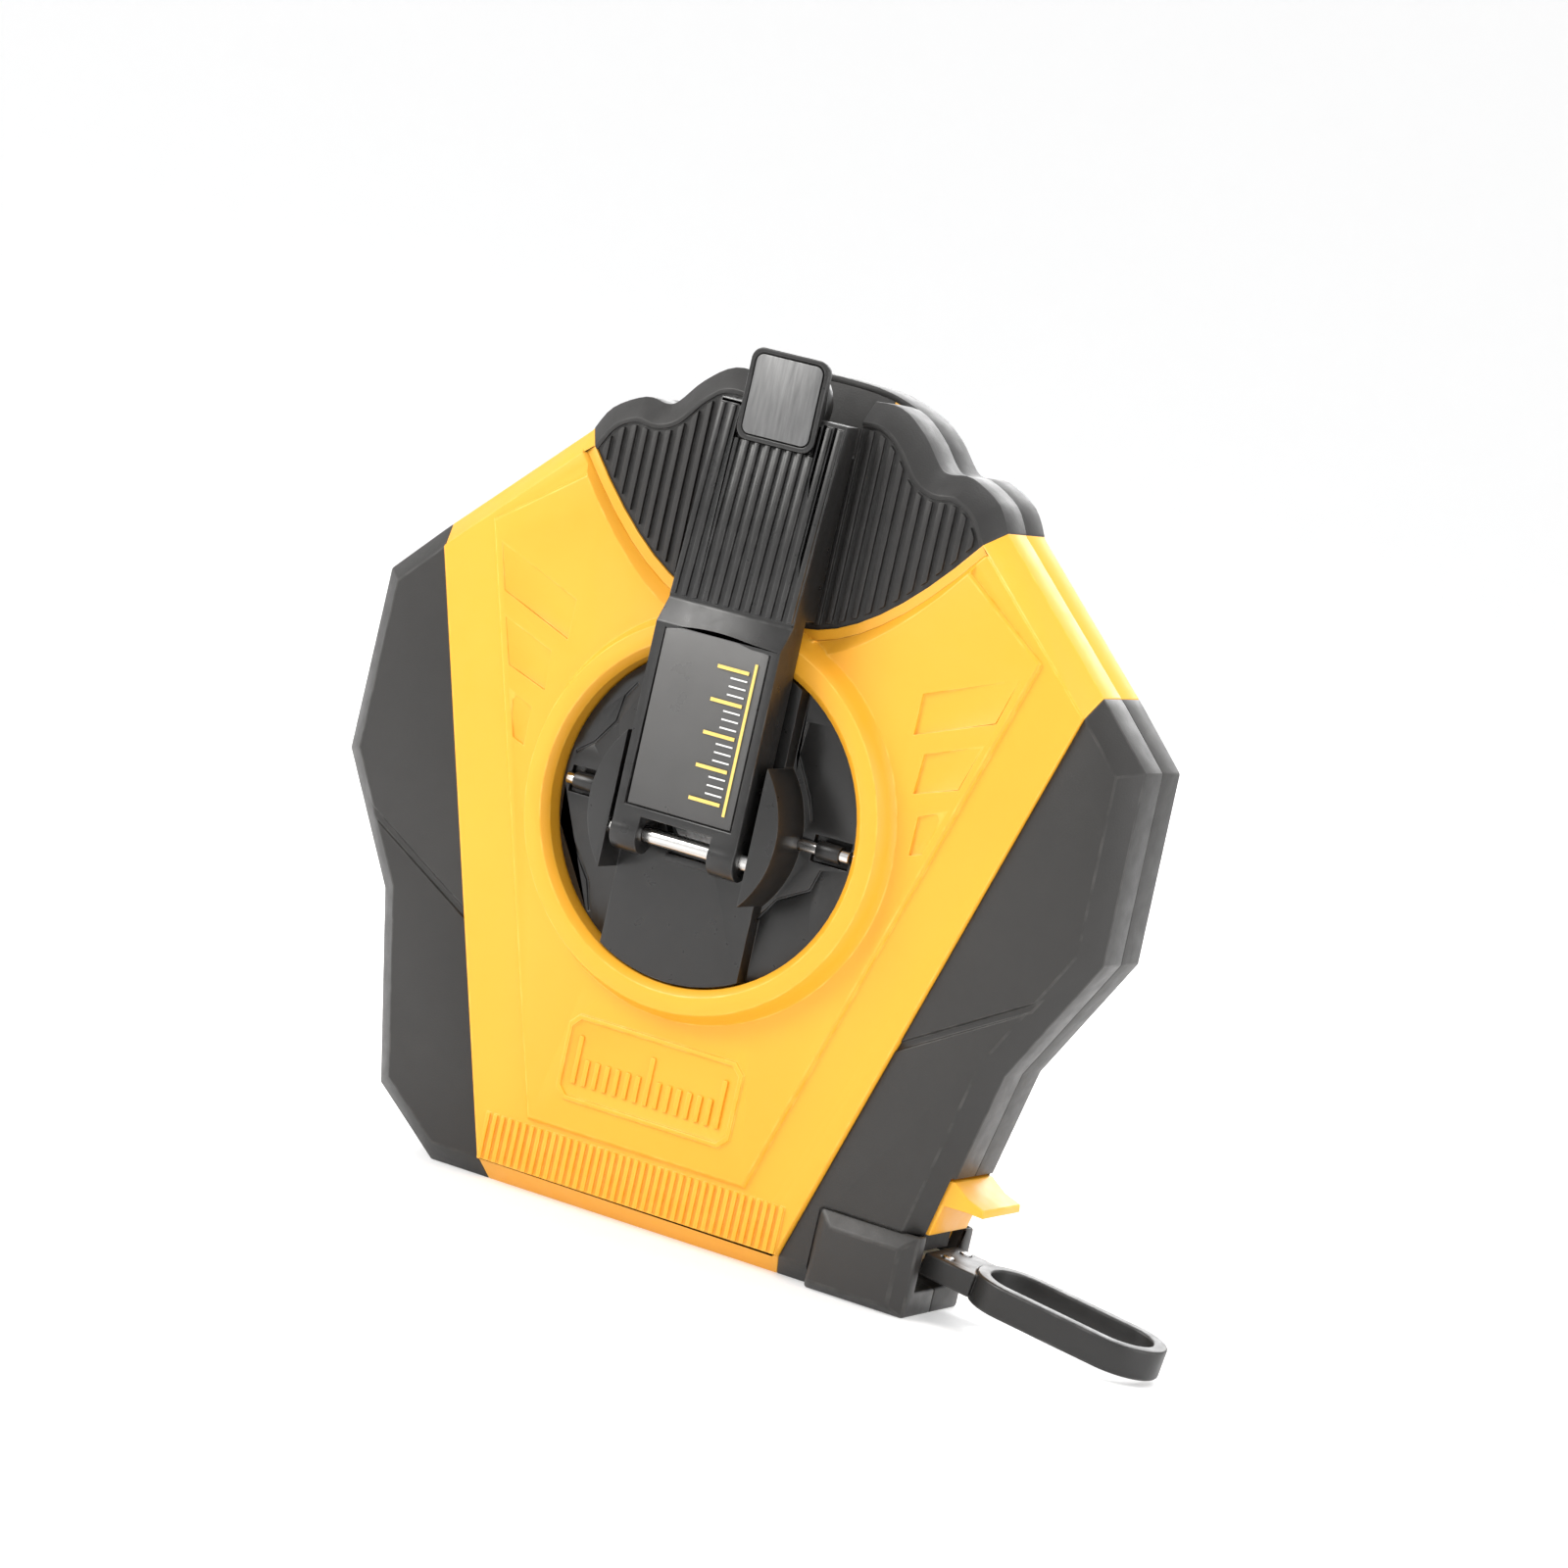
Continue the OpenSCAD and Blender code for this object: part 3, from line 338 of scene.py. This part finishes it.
def copy_node(node):
    """A merged copy of a CAD node, its flat faces cleaned of their triangle lines."""
    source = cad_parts[node]
    piece = bpy.data.objects.new(node + "_visible", source.data.copy())
    bpy.context.collection.objects.link(piece)
    hold(piece)
    bpy.ops.mesh.customdata_custom_splitnormals_clear()
    bpy.ops.object.mode_set(mode="EDIT")
    bpy.ops.mesh.select_all(action="SELECT")
    bpy.ops.mesh.remove_doubles(threshold=0.000002)
    bpy.ops.mesh.dissolve_limited(angle_limit=math.radians(0.6))
    bpy.ops.mesh.select_all(action="DESELECT")
    bpy.ops.object.mode_set(mode="OBJECT")
    return piece


def segment_gap(point, a, b):
    """Distance in millimetres, across and up from the hub, from a point to the segment a-b."""
    p = Vector(((point.x - hub.x) / MM, (point.z - hub.z) / MM))
    a, b = Vector(a), Vector(b)
    share = max(0, min(1, (p - a).dot(b - a) / (b - a).length_squared))
    return (p - a - share * (b - a)).length


def bevel_where(piece, wanted, width, segments):
    """Bevels the edges of a piece for which wanted(low end, high end) is true."""
    hold(piece)
    bpy.ops.object.mode_set(mode="EDIT")
    bpy.ops.mesh.select_mode(type="EDGE")
    mesh = bmesh.from_edit_mesh(piece.data)
    for edge in mesh.edges:
        edge.select_set(False)
    for edge in mesh.edges:
        if wanted(edge.verts[0].co, edge.verts[1].co):
            edge.select_set(True)
    bmesh.update_edit_mesh(piece.data)
    bpy.ops.mesh.bevel(offset=width, segments=segments, affect="EDGES", clamp_overlap=False,
                      loop_slide=False)
    bpy.ops.mesh.select_all(action="DESELECT")
    bpy.ops.object.mode_set(mode="OBJECT")


def apply_modifier(piece, kind, **settings):
    hold(piece)
    step = piece.modifiers.new(kind.lower(), kind)
    for name, value in settings.items():
        setattr(step, name, value)
    bpy.ops.object.modifier_apply(modifier=step.name)


def finish_piece(piece, finish, body, edge=0.0, segments=2, replaces=()):
    """Rounds the edges, smooths the shading and hands the piece to its body."""
    piece.data.materials.clear()
    piece.data.materials.append(finish)
    rubbed = rubbed_finish.get(finish.name)
    if rubbed:
        piece.data.materials.append(rubbed)
    if edge:
        apply_modifier(piece, "BEVEL", width=edge * MM, segments=segments, limit_method="ANGLE",
                       angle_limit=BEVEL_ANGLE, use_clamp_overlap=False, loop_slide=False,
                       material=1 if rubbed else -1)
    hold(piece)
    bpy.ops.object.shade_smooth_by_angle(angle=SMOOTH_ANGLE)
    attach(piece, body)
    if replaces:
        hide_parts(*replaces)
    deselect()
    return piece


def dress(node, finish, body, edge, segments=2):
    """Shows a CAD node as a copy of it with rounded edges."""
    return finish_piece(copy_node(node), finish, body, edge, segments, (node,))


def block(x0, x1, y0, y1, z0, z1):
    """A box between two corners, in millimetres from the hub axis and the black face."""
    place = ((x0 + x1) / 2, (y0 + y1) / 2, (z0 + z1) / 2)
    bpy.ops.mesh.primitive_cube_add(size=1, location=at(place[0], place[2], face_y + place[1] * MM),
                                    scale=((x1 - x0) * MM, (y1 - y0) * MM, (z1 - z0) * MM))
    piece = bpy.context.object
    hold(piece)
    bpy.ops.object.transform_apply(location=True, rotation=True, scale=True)
    return piece


def joined(parts, name):
    hold(parts[0])
    for part in parts:
        part.select_set(True)
    if len(parts) > 1:
        bpy.ops.object.join()
    piece = bpy.context.object
    piece.name = name
    return piece


deselect()      # loading the frame leaves its nodes selected


# ---------------------------------------------------------------- the case

SHIELD_OUTLINE = [((24.5, -67.1), (60.4, 44.9)), ((-24.5, -67.1), (-60.4, 44.9)),
                  ((24.5, -67.1), (-24.5, -67.1)), ((60.4, 44.9), (42.1, 58.1)),
                  ((-60.4, 44.9), (-42.1, 58.1))]
BAND_OUTLINE = [((30, -90), (73.2, 45.2)), ((-30, -90), (-73.2, 45.2))]
SLOPE_WIDTH = 0.55 * MM
NOTCH_HALF, NOTCH_FOOT, NOTCH_TOP = 12.6, 73.3, 90      # the finger notch, from the hub axis


def on_outline(low, high, lines, reach=0.35):
    """Whether an edge's two ends lie within reach, in millimetres, of one of the lines."""
    return any(segment_gap(low, *line) < reach and segment_gap(high, *line) < reach
               for line in lines)


def soften_steps(shell, side):
    """Slopes the edges of the shield and of the bands, on the front (side -1) or the back (1)."""
    for outline, step_y in ((SHIELD_OUTLINE, shield_y), (BAND_OUTLINE, band_y)):
        level = side * abs(step_y)

        def is_step(low, high):
            return (abs(low.y - level) < TOUCH and abs(high.y - level) < TOUCH
                    and on_outline(low, high, outline))
        bevel_where(shell, is_step, SLOPE_WIDTH, 1)


def cut(piece, cutter, operation="DIFFERENCE"):
    apply_modifier(piece, "BOOLEAN", object=cutter, operation=operation, solver="EXACT")


def line_notch(front, back):
    """Lines the finger notch in the grip's black: its walls, and an inlay at its back."""
    front.data.materials.append(grip_rubber)
    for face in front.data.polygons:
        if (abs(face.center.x - hub.x) < (NOTCH_HALF + 0.2) * MM
                and face.center.z > hub.z + (NOTCH_FOOT - 0.8) * MM):
            face.material_index = 2
    seam = -face_y / MM
    space = (-NOTCH_HALF, NOTCH_HALF, seam - 0.2, seam + 0.5, NOTCH_FOOT, NOTCH_TOP)
    inlay = block(*space)
    inlay.name = "notch_lining"
    slot = block(*space)
    cut(inlay, back, "INTERSECT")
    cut(back, slot)
    bpy.data.objects.remove(slot)
    finish_piece(inlay, grip_rubber, "case")


def build_case():
    shells = []
    for node, side in (("front_shell", -1), ("back_shell", 1)):
        shell = copy_node(node)
        soften_steps(shell, side)
        shells.append(finish_piece(shell, yellow_case, "case", 0.2, 2, (node,)))
    line_notch(*shells)
    for node in ("front_left_skin", "front_right_skin", "back_left_skin", "back_right_skin"):
        dress(node, black_skin, "case", 0.3, 3)
    for node in ("front_grip", "back_grip"):
        dress(node, grip_rubber, "case", 0.12)
    for node in ("front_nose", "back_nose"):
        dress(node, black_skin, "case", 0.5, 3)
    for node in ("case_screws", "axle_screw"):
        dress(node, screw_steel, "case", 0.12)


def build_badge_scale():
    """A plain raised scale inside the badge frame."""
    count, pitch, half, foot, long, short = 15, 2.3, 0.5, -57.5, 9.5, 5.2
    bars = []
    for i in range(count):
        x = (i - count // 2) * pitch
        tall = long if i % (count // 2) == 0 else short
        bars.append(block(x - half, x + half, -2.45, -1.9, foot, foot + tall))
    finish_piece(joined(bars, "badge_scale"), yellow_case, "case", 0.15)


# ---------------------------------------------------------------- the crank

LABEL_TOP = 35.5
LABEL_RISE = 2.0        # how far the label's top line bows up


def arch_line(piece, height, rise, near_face):
    """Bows the straight edges that cross a piece at one height upwards in the middle."""
    hold(piece)
    bpy.ops.object.mode_set(mode="EDIT")
    bpy.ops.mesh.select_mode(type="EDGE")
    mesh = bmesh.from_edit_mesh(piece.data)
    level = hub.z + height * MM

    def is_level(point):
        return abs(point.z - level) < TOUCH and near_face(point)

    for edge in mesh.edges:
        low, high = edge.verts[0].co, edge.verts[1].co
        edge.select_set(is_level(low) and is_level(high) and abs(low.x - high.x) > 0.01)
    bmesh.update_edit_mesh(piece.data)
    bpy.ops.mesh.subdivide(number_cuts=15)
    mesh = bmesh.from_edit_mesh(piece.data)
    for vertex in mesh.verts:
        if is_level(vertex.co):
            vertex.co.z += rise * MM * (1 - ((vertex.co.x - hub.x) / arm_half) ** 2)
    bmesh.update_edit_mesh(piece.data)
    bpy.ops.object.mode_set(mode="OBJECT")


def build_crank():
    arm = copy_node("crank_arm")
    arch_line(arm, LABEL_TOP, LABEL_RISE, lambda p: p.y < label_y + 1e-4)
    arch_line(arm, LABEL_TOP - 1.4, LABEL_RISE, lambda p: p.y < label_y + 1e-3)
    finish_piece(arm, crank_black, "arm", 0.25, 2, ("crank_arm",))
    label = copy_node("label_plate")
    arch_line(label, LABEL_TOP - 1.7, LABEL_RISE, lambda p: True)
    finish_piece(label, smoked_film, "arm", 0.2, 2, ("label_plate",))
    dress("end_cap", crank_black, "arm", 0.25, 3)
    dress("cap_pad", satin_pad, "arm", 0.2)
    dress("knob_pin", screw_steel, "arm", 0.1)
    dress("knob", crank_black, "knob", 0.3)
    dress("crank_hub", crank_black, "crank_hub", 0.2)
    dress("hinge_pin", bright_pin, "crank_hub", 0.15)
    dress("latch_pins", bright_pin, "crank_hub", 0.15)
    dress("latch_sleeves", crank_black, "crank_hub", 0.15)


def build_label_print():
    """A plain printed scale on the label: white marks, with longer yellow ones."""
    film = (label_y - face_y) / MM + 0.15
    ink = (film - 0.04, film + 0.05)
    count, pitch, foot, right = 17, 1.6, 4.5, 8.2
    white, yellow = [], []
    for i in range(count):
        z = foot + i * pitch
        if i % 4 == 0:
            yellow.append(block(1.4, right, *ink, z - 0.35, z + 0.35))
        else:
            white.append(block(4.6, right, *ink, z - 0.16, z + 0.16))
    yellow.append(block(9.1, 9.7, *ink, 2.6, 32.2))
    finish_piece(joined(white, "label_marks_white"), white_ink, "arm")
    finish_piece(joined(yellow, "label_marks_yellow"), yellow_ink, "arm")


# ---------------------------------------------------------------- lever, tape and hook

def build_tape_end():
    dress("brake_lever", yellow_case, "lever", 0.3, 3)
    dress("tape_end", tape_coat, "tape_end", 0.06, 1)
    dress("hook", hook_black, "tape_end", 0.5, 3)
    dress("hook_rivets", screw_steel, "tape_end", 0.15)


def dress_inner_nodes():
    """Finishes for the CAD nodes that are kept as they are."""
    inner = {
        screw_steel: ("axle", "hub_clip", "ring_gear_screws", "planet_pins", "lever_pin",
                      "lever_spring", "roller_pin"),
        gear_nylon: ("ring_gear", "planet_gear_1", "planet_gear_2", "planet_gear_3",
                     "mouth_roller"),
        spool_orange: ("spool_core", "spool_flange"),
        tape_rings: ("tape_roll",),
        brake_rubber: ("brake_shoe",),
    }
    for finish, names in inner.items():
        for name in names:
            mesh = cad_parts[name].data
            mesh.materials.clear()
            mesh.materials.append(finish)


add_camera()
add_studio()
build_case()
build_badge_scale()
build_crank()
build_label_print()
build_tape_end()
dress_inner_nodes()
